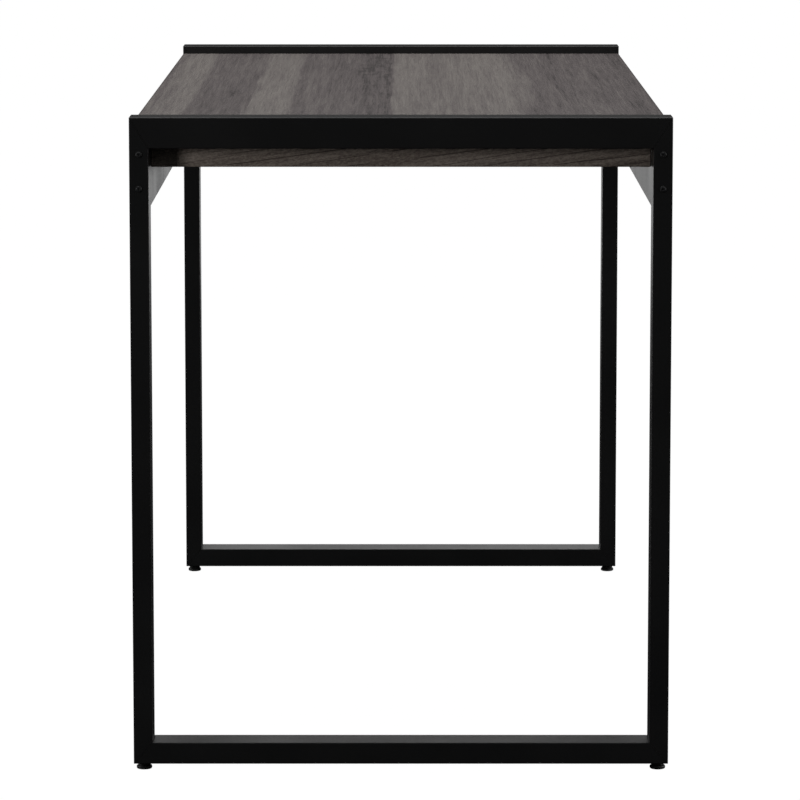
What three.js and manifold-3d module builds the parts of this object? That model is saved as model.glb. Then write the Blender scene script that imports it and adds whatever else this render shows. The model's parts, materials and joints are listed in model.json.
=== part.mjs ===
// A computer desk with a keyboard tray.
// Millimetres, +Z up, +X along the desk, -Y towards the person who sits at it.
// The origin is on the floor, under the middle of the desk.
import * as THREE from "three";
import { mergeVertices } from "three/addons/utils/BufferGeometryUtils.js";
import Module from "manifold-3d";

const wasm = await Module();
wasm.setup();

// ---- Driving dimensions ----

// The whole desk, over its steel frames
const LENGTH = 1350;
const DEPTH = 611;
const HEIGHT = 750;

// Clear space between two pieces that touch
const GAP = 0.3;

// End frames: four mitred rectangular tubes each
const TUBE_THICKNESS = 45; // measured along the desk, the same for all four
const LEG_FACE = 21.8;
const TOP_RAIL_FACE = 35;
const BOTTOM_RAIL_FACE = 24.5;
const TUBE_WALL = 1.5;
const TUBE_CORNER = 1;
const MITRE_GAP = 0.2; // taken off each of the two ends that meet

// Desktop: a board between the two top rails, below their upper edges
const DESKTOP_DROP = 10.4;
const DESKTOP_THICKNESS = 18;
const DESKTOP_INSET = 0.5;
const EDGE_BAND = 1;

// Aprons: steel box sections under the desktop's long edges
const APRON_BOTTOM_BELOW_RAIL = 104;
const APRON_WALL = 1.5;
const APRON_CORNER = 1.2;
const APRON_END_PLATE = 3;
const TRAY_BAY = 700; // width of the bay in the front apron
const STRAP_THICKNESS = 4;

// End boards: wooden cleats behind the top rails
const END_BOARD_THICKNESS = 15;
const END_BOARD_BOTTOM_BELOW_RAIL = 59.5;
const END_BOARD_SIDE_GAP = 0.4;
const END_BOARD_CORNER = 2;
const END_SCREW_OFFSET = 200; // either side of the desk's middle

// Apron bolts: M4 button heads with hexagon sockets
const BOLT_RADIUS = 2;
const BOLT_LENGTH = 54;
const BOLT_TIP = 0.6; // chamfer on the shank's end
const BOLT_HEAD_RADIUS = 3.8;
const BOLT_HEAD_HEIGHT = 2.2;
const BOLT_DOME = [ // the head's outline, as shares of its radius and height
  [1, 0],
  [0.93, 0.5],
  [0.75, 0.84],
  [0.5, 1],
];
const BOLT_SOCKET = 2.5; // across flats
const BOLT_SOCKET_DEPTH = 1.3;
const BOLTS_BELOW_RAIL = [41.7, 80.6];
const WELD_NUT_RADIUS = 4.6;
const WELD_NUT_HEIGHT = 4;

// Levelling feet
const FOOT_HEIGHT = 10; // shown under the bottom rail
const FOOT_PAD_RADIUS = 9;
const FOOT_PAD_HEIGHT = 4.6;
const FOOT_PAD_ROUND = 1.4;
const FOOT_HEX_RADIUS = 7.4;
const FOOT_STUD_RADIUS = 3.9;
const FOOT_STUD_TOP = 31;
const INSERT_FLANGE_RADIUS = 7.35;
const INSERT_FLANGE_HEIGHT = 2;
const INSERT_BODY_RADIUS = 6;
const INSERT_BODY_HEIGHT = 12;

// Crossbars: steel tubes that stiffen the desktop from apron to apron
const CROSSBAR_X = 430;
const CROSSBAR_WIDTH = 25;
const CROSSBAR_HEIGHT = 15;
const CROSSBAR_SCREW_OFFSET = 150;

// Keyboard tray
const TRAY_THICKNESS = 12;
const TRAY_DEPTH = 300;
const TRAY_TOP_BELOW_RAIL = 70;
const TRAY_FRONT_SIDE_GAP = 1.7;
const TRAY_STOP_THICKNESS = 12;
const TRAY_STOP_HEIGHT = 15;
const TRAY_CORNER = 1;
const VENT_RADIUS = 2.5;

// Ball bearing slides, their hangers and the tray's side rails
const SLIDE_LENGTH = 300;
const SLIDE_HEIGHT = 35;
const SLIDE_WIDTH = 12.7;
const SLIDE_WALL = 1.2;
const SLIDE_AXIS_BELOW_RAIL = 58;
const SLIDE_MIDDLE = { setback: 3.2, width: 8, height: 28.4 };
const SLIDE_INNER = { width: 6.2, height: 21.6 };
const SHEET = 2;
const HANGER_X = 344; // inner face of the hanger's web
const HANGER_FLANGE = 28;
const HANGER_DROP = 47.3;
const HANGER_SCREW_Y = [-250, -30];
const SIDE_RAIL_FLANGE = 22;
const SIDE_RAIL_HEIGHT = 40.3;

// Wood screws
const SCREW_RADIUS = 2;
const SCREW_HEAD_RADIUS = 4;
const SCREW_HEAD_HEIGHT = 2.4;
const SCREW_CROWN_RADIUS = 2.8; // the flat on top of the head
const SCREW_BITE = 12; // how far a screw reaches into the desktop

// ---- Places worked out from them ----

const FRAME_INNER_X = LENGTH / 2 - TUBE_THICKNESS;
const FRAME_CENTRE_X = LENGTH / 2 - TUBE_THICKNESS / 2;
const LEG_CENTRE_Y = DEPTH / 2 - LEG_FACE / 2;
const LEG_INNER_Y = DEPTH / 2 - LEG_FACE;
const DESKTOP_TOP = HEIGHT - DESKTOP_DROP;
const DESKTOP_BOTTOM = DESKTOP_TOP - DESKTOP_THICKNESS;
const UNDERSIDE = DESKTOP_BOTTOM - GAP; // upper limit of what hangs under the desktop
const APRON_BOTTOM = HEIGHT - APRON_BOTTOM_BELOW_RAIL;
const APRON_END_X = FRAME_INNER_X - GAP;
const TRAY_TOP = HEIGHT - TRAY_TOP_BELOW_RAIL;
const TRAY_BOTTOM = TRAY_TOP - TRAY_THICKNESS;
const TRAY_FRONT_Y = -LEG_INNER_Y + GAP;
const SLIDE_FRONT_Y = TRAY_FRONT_Y + 1;
const SLIDE_AXIS_Z = HEIGHT - SLIDE_AXIS_BELOW_RAIL;
const SLIDE_OUTER_X = HANGER_X - GAP; // back of the fixed member
const SLIDE_INNER_X = SLIDE_OUTER_X - SLIDE_WIDTH; // back of the tray's member
const SIDE_RAIL_X = SLIDE_INNER_X - GAP; // outer face of the tray's side rail
const TRAY_HALF_WIDTH = SIDE_RAIL_X - SHEET - GAP;

const SIDES = { left: -1, right: 1 };
const ENDS = { front: -1, rear: 1 };
const X = new THREE.Vector3(1, 0, 0);
const Y = new THREE.Vector3(0, 1, 0);
const Z = new THREE.Vector3(0, 0, 1);

// ---- Materials ----

const material = (color, roughness, metalness = 0) =>
  new THREE.MeshStandardMaterial({ color, roughness, metalness });
const BLACK_STEEL = material(0x111112, 0.35, 0.3);
const LAMINATE = material(0x645f5c, 0.5);
const BLACK_PLASTIC = material(0x0c0c0c, 0.6);
const ZINC = material(0xb4b8bb, 0.3, 0.9);
const BLACK_OXIDE = material(0x161616, 0.4, 0.7);

// ---- Solid helpers ----

// A closed geometry as a manifold-3d solid.
function solidFrom(geometry) {
  const bare = geometry.clone();
  bare.deleteAttribute("normal");
  bare.deleteAttribute("uv");
  const merged = mergeVertices(bare, 1e-4);
  return new wasm.Manifold(
    new wasm.Mesh({
      numProp: 3,
      vertProperties: new Float32Array(merged.attributes.position.array),
      triVerts: new Uint32Array(merged.index.array),
    }),
  );
}

// A manifold-3d solid as a geometry with flat faces.
function geometryFrom(solid) {
  const { vertProperties, triVerts } = solid.getMesh();
  const shared = new THREE.BufferGeometry();
  shared.setAttribute("position", new THREE.BufferAttribute(vertProperties, 3));
  shared.setIndex(new THREE.BufferAttribute(triVerts, 1));
  const faceted = shared.toNonIndexed();
  faceted.computeVertexNormals();
  return faceted;
}

function cut(geometry, tools) {
  const start = solidFrom(geometry);
  return geometryFrom(tools.reduce((solid, tool) => solid.subtract(solidFrom(tool)), start));
}

function join(geometries) {
  return geometryFrom(geometries.map(solidFrom).reduce((solid, other) => solid.add(other)));
}

// A cylinder, or a prism of few sides, centred on a point and lying along an axis.
function rod(radius, length, axis, centre, sides = 16) {
  const turn = new THREE.Quaternion().setFromUnitVectors(Y, axis);
  return new THREE.CylinderGeometry(radius, radius, length, sides)
    .applyQuaternion(turn)
    .translate(...centre);
}

// A box from its lowest corner to its highest one.
function box(low, high) {
  const size = high.map((value, i) => value - low[i]);
  const centre = high.map((value, i) => (value + low[i]) / 2);
  return new THREE.BoxGeometry(...size).translate(...centre);
}

// A rectangle from (x, y) with its corners rounded.
function roundedRectangle(x, y, width, height, radius) {
  const shape = new THREE.Shape();
  const right = x + width;
  const top = y + height;
  shape.absarc(right - radius, y + radius, radius, -Math.PI / 2, 0);
  shape.absarc(right - radius, top - radius, radius, 0, Math.PI / 2);
  shape.absarc(x + radius, top - radius, radius, Math.PI / 2, Math.PI);
  shape.absarc(x + radius, y + radius, radius, Math.PI, Math.PI * 1.5);
  return shape;
}

// An outline from a list of corners.
const outline = (corners) => new THREE.Shape(corners.map(([x, y]) => new THREE.Vector2(x, y)));

const extrude = (shape, depth) =>
  new THREE.ExtrudeGeometry(shape, { depth, bevelEnabled: false, curveSegments: 3 });

// Stands an extrusion up in space: its outline's two axes become across and up, and it runs
// along across x up from the origin given.
function stand(geometry, across, up, origin) {
  const along = new THREE.Vector3().crossVectors(across, up);
  const basis = new THREE.Matrix4().makeBasis(across, up, along);
  return geometry.applyMatrix4(basis).translate(...origin);
}

// A body turned about +Y from a profile that runs upwards from the axis and back to it.
function turned(profile, segments = 16) {
  const points = profile.map(([radius, height]) => new THREE.Vector2(radius, height));
  return new THREE.LatheGeometry(points, segments);
}

// ---- The assembly ----

const desk = new THREE.Group();

function add(name, geometry, surface, position = [0, 0, 0], rotation = [0, 0, 0]) {
  const mesh = new THREE.Mesh(geometry, surface);
  mesh.name = name;
  mesh.position.set(...position);
  mesh.rotation.set(...rotation);
  desk.add(mesh);
}

// ---- End frames ----

// A rectangular tube of the end frames, with both ends mitred. It runs along +Z, its outer face
// at x = 0, and each mitre leans inwards by its slope for each millimetre across the face.
function mitredTube(face, length, startSlope, endSlope) {
  const half = TUBE_THICKNESS / 2;
  const section = roundedRectangle(0, -half, face, TUBE_THICKNESS, TUBE_CORNER);
  const bore = roundedRectangle(
    TUBE_WALL,
    -half + TUBE_WALL,
    face - 2 * TUBE_WALL,
    TUBE_THICKNESS - 2 * TUBE_WALL,
    TUBE_CORNER / 2,
  );
  section.holes.push(bore);
  const tube = extrude(section, length);
  const points = tube.attributes.position;
  for (let i = 0; i < points.count; i++) {
    const across = points.getX(i);
    const atStart = points.getZ(i) < length / 2;
    const mitred = atStart
      ? startSlope * across + MITRE_GAP
      : length - endSlope * across - MITRE_GAP;
    points.setZ(i, mitred);
  }
  return tube;
}

function leg(side, end) {
  const tube = mitredTube(
    LEG_FACE,
    HEIGHT - FOOT_HEIGHT,
    BOTTOM_RAIL_FACE / LEG_FACE,
    TOP_RAIL_FACE / LEG_FACE,
  );
  const centreX = side * FRAME_CENTRE_X;
  const inwards = Y.clone().multiplyScalar(-end);
  const along = Z;
  const across = new THREE.Vector3().crossVectors(along, inwards);
  stand(tube, inwards, across, [centreX, (end * DEPTH) / 2, FOOT_HEIGHT]);
  const holes = BOLTS_BELOW_RAIL.map((drop) =>
    rod(BOLT_RADIUS + GAP, 2 * TUBE_THICKNESS, X, [centreX, end * LEG_CENTRE_Y, HEIGHT - drop]),
  );
  return cut(tube, holes);
}

function rail(side, face, outerZ, inwards) {
  const slope = LEG_FACE / face;
  const tube = mitredTube(face, DEPTH, slope, slope);
  const across = new THREE.Vector3().crossVectors(Y, inwards);
  return stand(tube, inwards, across, [side * FRAME_CENTRE_X, -DEPTH / 2, outerZ]);
}

function bottomRail(side) {
  const tube = rail(side, BOTTOM_RAIL_FACE, FOOT_HEIGHT, Z);
  const holes = Object.values(ENDS).map((end) =>
    rod(INSERT_BODY_RADIUS + GAP, 4 * TUBE_WALL, Z, [...footPlace(side, end), FOOT_HEIGHT]),
  );
  return cut(tube, holes);
}

// A foot stands under the middle of its leg.
function footPlace(side, end) {
  return [side * FRAME_CENTRE_X, end * LEG_CENTRE_Y];
}

for (const [sideName, side] of Object.entries(SIDES)) {
  for (const [endName, end] of Object.entries(ENDS)) {
    add(`${sideName}_${endName}_leg`, leg(side, end), BLACK_STEEL);
  }
  const down = Z.clone().negate();
  add(`${sideName}_top_rail`, rail(side, TOP_RAIL_FACE, HEIGHT, down), BLACK_STEEL);
  add(`${sideName}_bottom_rail`, bottomRail(side), BLACK_STEEL);
}

// ---- Levelling feet and the inserts they screw into ----

// A threaded insert: a sleeve inside the rail, and a flange under it. The origin is on the
// rail's lower face.
function footInsert() {
  const bore = FOOT_STUD_RADIUS + GAP;
  const flangeTop = -GAP;
  const flangeBottom = flangeTop - INSERT_FLANGE_HEIGHT;
  return turned([
    [bore, flangeBottom],
    [INSERT_FLANGE_RADIUS, flangeBottom],
    [INSERT_FLANGE_RADIUS, flangeTop],
    [INSERT_BODY_RADIUS, flangeTop],
    [INSERT_BODY_RADIUS, INSERT_BODY_HEIGHT],
    [bore, INSERT_BODY_HEIGHT],
    [bore, flangeBottom],
  ]);
}

// A foot: a round pad, a hexagon to turn it by, and a stud. The origin is on the floor.
function levellingFoot() {
  const round = FOOT_PAD_ROUND;
  const pad = turned(
    [
      [0, 0],
      [FOOT_PAD_RADIUS - round, 0],
      [FOOT_PAD_RADIUS, round],
      [FOOT_PAD_RADIUS, FOOT_PAD_HEIGHT - round],
      [FOOT_PAD_RADIUS - round, FOOT_PAD_HEIGHT],
      [0, FOOT_PAD_HEIGHT],
    ],
    24,
  );
  const hexTop = FOOT_HEIGHT - INSERT_FLANGE_HEIGHT - 2 * GAP;
  const hexHeight = hexTop - FOOT_PAD_HEIGHT / 2;
  const hex = rod(FOOT_HEX_RADIUS, hexHeight, Y, [0, hexTop - hexHeight / 2, 0], 6);
  const studHeight = FOOT_STUD_TOP - FOOT_PAD_HEIGHT / 2;
  const stud = rod(FOOT_STUD_RADIUS, studHeight, Y, [0, FOOT_STUD_TOP - studHeight / 2, 0], 12);
  return join([pad, hex, stud]);
}

const UPRIGHT = [Math.PI / 2, 0, 0];

for (const [sideName, side] of Object.entries(SIDES)) {
  for (const [endName, end] of Object.entries(ENDS)) {
    const [x, y] = footPlace(side, end);
    add(`${sideName}_${endName}_foot_insert`, footInsert(), BLACK_PLASTIC, [x, y, FOOT_HEIGHT], UPRIGHT);
    add(`${sideName}_${endName}_levelling_foot`, levellingFoot(), BLACK_PLASTIC, [x, y, 0], UPRIGHT);
  }
}

// ---- Desktop ----

// A wood screw driven upwards: its head's lower face is at the origin.
function woodScrew(length) {
  return turned(
    [
      [0, 0],
      [SCREW_CROWN_RADIUS, 0],
      [SCREW_HEAD_RADIUS, SCREW_HEAD_HEIGHT / 2],
      [SCREW_HEAD_RADIUS, SCREW_HEAD_HEIGHT],
      [SCREW_RADIUS, SCREW_HEAD_HEIGHT],
      [SCREW_RADIUS, length - 2 * SCREW_RADIUS],
      [0, length],
    ],
    12,
  );
}

// The clearance hole for a wood screw's shank.
const screwHole = (x, y, z, length) =>
  rod(SCREW_RADIUS + GAP, length, Z, [x, y, z + length / 2], 12);

// Every wood screw bites into the desktop: where it stands, and how high its head starts.
function woodScrews() {
  const screws = [];
  for (const [sideName, side] of Object.entries(SIDES)) {
    for (const [endName, end] of Object.entries(ENDS)) {
      screws.push({
        name: `${sideName}_crossbar_screw_${endName}`,
        x: side * CROSSBAR_X,
        y: end * CROSSBAR_SCREW_OFFSET,
        headTop: UNDERSIDE - CROSSBAR_HEIGHT - GAP,
      });
      screws.push({
        name: `${sideName}_end_board_screw_${endName}`,
        x: side * (APRON_END_X - END_BOARD_THICKNESS / 2),
        y: end * END_SCREW_OFFSET,
        headTop: HEIGHT - END_BOARD_BOTTOM_BELOW_RAIL + 2 * SCREW_HEAD_HEIGHT,
      });
    }
    HANGER_SCREW_Y.forEach((y, i) => {
      screws.push({
        name: `${sideName}_hanger_screw_${Object.keys(ENDS)[i]}`,
        x: side * (HANGER_X + HANGER_FLANGE / 2),
        y,
        headTop: UNDERSIDE - SHEET - GAP,
      });
    });
  }
  return screws;
}

function desktop() {
  const halfX = FRAME_INNER_X - GAP;
  const halfY = DEPTH / 2 - DESKTOP_INSET - EDGE_BAND - GAP;
  const board = box([-halfX, -halfY, DESKTOP_BOTTOM], [halfX, halfY, DESKTOP_TOP]);
  const pilots = woodScrews().map(({ x, y }) =>
    screwHole(x, y, DESKTOP_BOTTOM - 1, SCREW_BITE + 1 + GAP),
  );
  return cut(board, pilots);
}

add("desktop", desktop(), LAMINATE);

for (const [endName, end] of Object.entries(ENDS)) {
  const halfX = FRAME_INNER_X - GAP;
  const outer = DEPTH / 2 - DESKTOP_INSET;
  const band = box([-halfX, -EDGE_BAND / 2, DESKTOP_BOTTOM], [halfX, EDGE_BAND / 2, DESKTOP_TOP]);
  add(`desktop_edge_band_${endName}`, band, LAMINATE, [0, end * (outer - EDGE_BAND / 2), 0]);
}

for (const { name, x, y, headTop } of woodScrews()) {
  const headBottom = headTop - SCREW_HEAD_HEIGHT;
  const length = DESKTOP_BOTTOM + SCREW_BITE - headBottom;
  add(name, woodScrew(length), ZINC, [x, y, headBottom], UPRIGHT);
}

// ---- End boards ----

function endBoard(side) {
  const bottom = HEIGHT - END_BOARD_BOTTOM_BELOW_RAIL;
  const halfWidth = LEG_INNER_Y - END_BOARD_SIDE_GAP;
  const height = UNDERSIDE - bottom;
  const centreX = side * (APRON_END_X - END_BOARD_THICKNESS / 2);
  const shape = roundedRectangle(-halfWidth, bottom, 2 * halfWidth, height, END_BOARD_CORNER);
  const board = stand(extrude(shape, END_BOARD_THICKNESS), Y, Z, [
    centreX - END_BOARD_THICKNESS / 2,
    0,
    0,
  ]);
  const holes = Object.values(ENDS).flatMap((end) => {
    const y = end * END_SCREW_OFFSET;
    const counterbore = 2 * SCREW_HEAD_HEIGHT + GAP;
    return [
      screwHole(centreX, y, bottom - 1, height + 2),
      rod(SCREW_HEAD_RADIUS + GAP, 2 * counterbore, Z, [centreX, y, bottom], 12),
    ];
  });
  return cut(board, holes);
}

for (const [sideName, side] of Object.entries(SIDES)) {
  add(`${sideName}_end_board`, endBoard(side), LAMINATE);
}

// ---- Aprons ----

// A closed steel box section along X, hollow, with an end plate at each end. bolted says which
// ends carry weld nuts for the frame's bolts; any other end has one vent hole.
function boxSection(fromX, toX, bottomZ, topZ, centreY, bolted) {
  const height = topZ - bottomZ;
  const place = (x) => [x, centreY, (bottomZ + topZ) / 2];
  const outer = roundedRectangle(-LEG_FACE / 2, -height / 2, LEG_FACE, height, APRON_CORNER);
  const inner = roundedRectangle(
    -LEG_FACE / 2 + APRON_WALL,
    -height / 2 + APRON_WALL,
    LEG_FACE - 2 * APRON_WALL,
    height - 2 * APRON_WALL,
    APRON_CORNER / 2,
  );
  const hollowLength = toX - fromX - 2 * APRON_END_PLATE;
  const skin = stand(extrude(outer, toX - fromX), Y, Z, place(fromX));
  const hollow = stand(extrude(inner, hollowLength), Y, Z, place(fromX + APRON_END_PLATE));
  const shell = cut(skin, [hollow]);
  const nuts = [];
  const holes = [];
  for (const [side, x] of [[-1, fromX], [1, toX]]) {
    if (!bolted.includes(side)) {
      holes.push(rod(VENT_RADIUS, 4 * APRON_END_PLATE, X, place(x), 12));
      continue;
    }
    for (const drop of BOLTS_BELOW_RAIL) {
      const z = HEIGHT - drop;
      const nutX = x - side * (APRON_END_PLATE + WELD_NUT_HEIGHT / 2 - GAP);
      nuts.push(rod(WELD_NUT_RADIUS, WELD_NUT_HEIGHT, X, [nutX, centreY, z], 6));
      holes.push(rod(BOLT_RADIUS + GAP, 4 * WELD_NUT_HEIGHT, X, [x, centreY, z]));
    }
  }
  return cut(join([shell, ...nuts]), holes);
}

const FRONT_Y = -LEG_CENTRE_Y;
const BAY_X = TRAY_BAY / 2;

add(
  "rear_apron",
  boxSection(-APRON_END_X, APRON_END_X, APRON_BOTTOM, UNDERSIDE, LEG_CENTRE_Y, [-1, 1]),
  BLACK_STEEL,
);
add(
  "left_front_apron",
  boxSection(-APRON_END_X, -BAY_X, APRON_BOTTOM, UNDERSIDE, FRONT_Y, [-1]),
  BLACK_STEEL,
);
add(
  "right_front_apron",
  boxSection(BAY_X, APRON_END_X, APRON_BOTTOM, UNDERSIDE, FRONT_Y, [1]),
  BLACK_STEEL,
);

// A flat strap over the tray's bay joins the two front aprons.
add(
  "front_strap",
  box(
    [-BAY_X + GAP, -DEPTH / 2, UNDERSIDE - STRAP_THICKNESS],
    [BAY_X - GAP, -LEG_INNER_Y, UNDERSIDE],
  ),
  BLACK_STEEL,
);

// ---- Apron bolts ----

// A button head bolt along -Y: its head's flat is at the origin.
function apronBolt() {
  const body = turned([
    [0, -BOLT_LENGTH],
    [BOLT_RADIUS - BOLT_TIP, -BOLT_LENGTH],
    [BOLT_RADIUS, BOLT_TIP - BOLT_LENGTH],
    [BOLT_RADIUS, 0],
    ...BOLT_DOME.map(([wide, tall]) => [BOLT_HEAD_RADIUS * wide, BOLT_HEAD_HEIGHT * tall]),
    [0, BOLT_HEAD_HEIGHT],
  ]);
  const acrossCorners = BOLT_SOCKET / Math.cos(Math.PI / 6);
  const socket = rod(acrossCorners / 2, 2 * BOLT_SOCKET_DEPTH, Y, [0, BOLT_HEAD_HEIGHT, 0], 6);
  return cut(body, [socket]);
}

for (const [sideName, side] of Object.entries(SIDES)) {
  for (const [endName, end] of Object.entries(ENDS)) {
    BOLTS_BELOW_RAIL.forEach((drop, i) => {
      const level = ["upper", "lower"][i];
      const place = [side * (LENGTH / 2 + GAP), end * LEG_CENTRE_Y, HEIGHT - drop];
      const turn = [0, 0, (-side * Math.PI) / 2];
      add(`${sideName}_${endName}_${level}_bolt`, apronBolt(), BLACK_OXIDE, place, turn);
    });
  }
}

// ---- Crossbars ----

function crossbar(side) {
  const length = 2 * (LEG_INNER_Y - GAP);
  const bottom = UNDERSIDE - CROSSBAR_HEIGHT;
  const section = roundedRectangle(
    -CROSSBAR_WIDTH / 2,
    0,
    CROSSBAR_WIDTH,
    CROSSBAR_HEIGHT,
    APRON_CORNER,
  );
  const bore = roundedRectangle(
    TUBE_WALL - CROSSBAR_WIDTH / 2,
    TUBE_WALL,
    CROSSBAR_WIDTH - 2 * TUBE_WALL,
    CROSSBAR_HEIGHT - 2 * TUBE_WALL,
    APRON_CORNER / 2,
  );
  section.holes.push(bore);
  const centreX = side * CROSSBAR_X;
  const tube = stand(extrude(section, length), X, Z, [centreX, length / 2, bottom]);
  const holes = Object.values(ENDS).map((end) =>
    screwHole(centreX, end * CROSSBAR_SCREW_OFFSET, bottom - 1, CROSSBAR_HEIGHT + 2),
  );
  return cut(tube, holes);
}

for (const [sideName, side] of Object.entries(SIDES)) {
  add(`${sideName}_crossbar`, crossbar(side), BLACK_STEEL);
}

// ---- Keyboard tray ----

const TRAY_REAR_Y = TRAY_FRONT_Y + TRAY_DEPTH;

add(
  "tray_board",
  box(
    [-TRAY_HALF_WIDTH, TRAY_FRONT_Y, TRAY_BOTTOM],
    [TRAY_HALF_WIDTH, TRAY_REAR_Y, TRAY_TOP],
  ),
  LAMINATE,
);

const TRAY_FRONT_X = BAY_X - TRAY_FRONT_SIDE_GAP;
add(
  "tray_front_rail",
  boxSection(-TRAY_FRONT_X, TRAY_FRONT_X, APRON_BOTTOM, TRAY_TOP, FRONT_Y, []),
  BLACK_STEEL,
);

// The strip behind the tray's rear edge stops the keyboard sliding off.
const stopProfile = roundedRectangle(
  TRAY_REAR_Y + GAP,
  TRAY_BOTTOM,
  TRAY_STOP_THICKNESS,
  TRAY_THICKNESS + TRAY_STOP_HEIGHT,
  TRAY_CORNER,
);
add(
  "tray_rear_stop",
  stand(extrude(stopProfile, 2 * TRAY_HALF_WIDTH), Y, Z, [-TRAY_HALF_WIDTH, 0, 0]),
  LAMINATE,
);

// ---- Slides ----

// A channel with its web at x = 0 and its flanges along +x.
function channel(width, height) {
  const half = height / 2;
  return outline([
    [0, -half],
    [width, -half],
    [width, SLIDE_WALL - half],
    [SLIDE_WALL, SLIDE_WALL - half],
    [SLIDE_WALL, half - SLIDE_WALL],
    [width, half - SLIDE_WALL],
    [width, half],
    [0, half],
  ]);
}

// An angle with its web along +y and its flange along +x from the same corner.
function angle(flange, web) {
  return outline([
    [0, 0],
    [flange, 0],
    [flange, SHEET],
    [SHEET, SHEET],
    [SHEET, web],
    [0, web],
  ]);
}

// Runs a section along the slide's length, with its own x axis pointing along facing.
function alongSlide(section, facing, up, x, z) {
  const across = X.clone().multiplyScalar(facing);
  const upwards = Z.clone().multiplyScalar(up);
  const runsForward = facing * up > 0;
  const startY = runsForward ? SLIDE_FRONT_Y + SLIDE_LENGTH : SLIDE_FRONT_Y;
  return stand(extrude(section, SLIDE_LENGTH), across, upwards, [x, startY, z]);
}

for (const [sideName, side] of Object.entries(SIDES)) {
  const hanger = alongSlide(angle(HANGER_FLANGE, HANGER_DROP), side, -1, side * HANGER_X, UNDERSIDE);
  const holes = HANGER_SCREW_Y.map((y) =>
    screwHole(side * (HANGER_X + HANGER_FLANGE / 2), y, UNDERSIDE - 2 * SHEET, 3 * SHEET),
  );
  add(`${sideName}_slide_hanger`, cut(hanger, holes), BLACK_STEEL);

  const middle = SLIDE_MIDDLE;
  const outerMember = channel(SLIDE_WIDTH - GAP, SLIDE_HEIGHT);
  const middleMember = channel(middle.width, middle.height);
  const innerMember = channel(SLIDE_INNER.width, SLIDE_INNER.height);
  add(
    `${sideName}_slide_outer_member`,
    alongSlide(outerMember, -side, 1, side * SLIDE_OUTER_X, SLIDE_AXIS_Z),
    ZINC,
  );
  add(
    `${sideName}_slide_middle_member`,
    alongSlide(middleMember, -side, 1, side * (SLIDE_OUTER_X - middle.setback), SLIDE_AXIS_Z),
    ZINC,
  );
  add(
    `${sideName}_slide_inner_member`,
    alongSlide(innerMember, side, 1, side * SLIDE_INNER_X, SLIDE_AXIS_Z),
    ZINC,
  );

  const sideRailBottom = TRAY_BOTTOM - GAP - SHEET;
  add(
    `${sideName}_tray_side_rail`,
    alongSlide(
      angle(SIDE_RAIL_FLANGE, SIDE_RAIL_HEIGHT),
      -side,
      1,
      side * SIDE_RAIL_X,
      sideRailBottom,
    ),
    BLACK_STEEL,
  );
}

export default desk;
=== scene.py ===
import json
import math

import bmesh
import bpy
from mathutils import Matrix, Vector

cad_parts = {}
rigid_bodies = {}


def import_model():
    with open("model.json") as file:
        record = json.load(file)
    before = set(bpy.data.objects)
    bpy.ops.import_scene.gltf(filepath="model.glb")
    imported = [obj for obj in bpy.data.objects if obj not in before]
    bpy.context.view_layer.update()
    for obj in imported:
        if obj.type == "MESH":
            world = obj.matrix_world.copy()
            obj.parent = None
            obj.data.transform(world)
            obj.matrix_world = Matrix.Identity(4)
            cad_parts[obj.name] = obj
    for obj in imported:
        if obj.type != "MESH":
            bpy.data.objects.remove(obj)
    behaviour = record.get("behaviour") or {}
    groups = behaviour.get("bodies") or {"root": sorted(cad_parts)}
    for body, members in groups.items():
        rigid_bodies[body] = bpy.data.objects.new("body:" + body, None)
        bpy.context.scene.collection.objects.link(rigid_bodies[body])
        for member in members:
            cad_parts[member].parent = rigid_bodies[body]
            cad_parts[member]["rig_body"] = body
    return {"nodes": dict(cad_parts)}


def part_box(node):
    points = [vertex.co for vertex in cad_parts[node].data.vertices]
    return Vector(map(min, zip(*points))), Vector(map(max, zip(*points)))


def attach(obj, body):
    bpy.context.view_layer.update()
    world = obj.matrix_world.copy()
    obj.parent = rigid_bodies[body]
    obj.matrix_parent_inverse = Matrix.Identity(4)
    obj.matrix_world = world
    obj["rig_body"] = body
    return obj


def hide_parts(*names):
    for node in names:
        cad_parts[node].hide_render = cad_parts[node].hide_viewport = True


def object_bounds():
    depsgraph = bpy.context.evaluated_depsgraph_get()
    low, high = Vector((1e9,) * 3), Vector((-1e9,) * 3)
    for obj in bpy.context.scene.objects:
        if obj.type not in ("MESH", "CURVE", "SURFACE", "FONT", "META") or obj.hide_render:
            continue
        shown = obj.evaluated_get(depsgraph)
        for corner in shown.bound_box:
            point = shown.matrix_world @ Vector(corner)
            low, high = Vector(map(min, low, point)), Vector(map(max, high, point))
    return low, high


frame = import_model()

CAD_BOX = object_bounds()

# ---- Sizes, in metres; where pieces stand and reach comes from the frame's own nodes ----

MM = 0.001
TUBE_WALL = 1.5 * MM
TUBE_CORNER = 1.0 * MM
APRON_CORNER = 1.2 * MM
SHEET = 2 * MM
SHEET_BEND = 2.2 * MM
SLIDE_SHEET = 1.2 * MM
SLIDE_BEND = 1.0 * MM
SHARP = 0.25 * MM  # how far the sharpest edges are broken
FAN_SIDES = 48
SMOOTH_UP_TO = 32  # degrees between two faces that are shaded as one surface

SIDES = {"left": -1, "right": 1}
ENDS = {"front": -1, "rear": 1}
LEVELS = ("upper", "lower")

BODY_OF = {node: obj["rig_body"] for node, obj in frame["nodes"].items()}

DESK_DEPTH = CAD_BOX[1].y - CAD_BOX[0].y


# ---- Node trees ----

def fill_ramp(node, stops):
    """Gives a colour ramp its stops: (place, grey level) or (place, (r, g, b))."""
    points = node.color_ramp.elements
    while len(points) < len(stops):
        points.new(0.5)
    for point, (place, colour) in zip(points, stops):
        point.position = place
        level = (colour,) * 3 if isinstance(colour, float) else colour
        point.color = (*level, 1.0)


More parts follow.
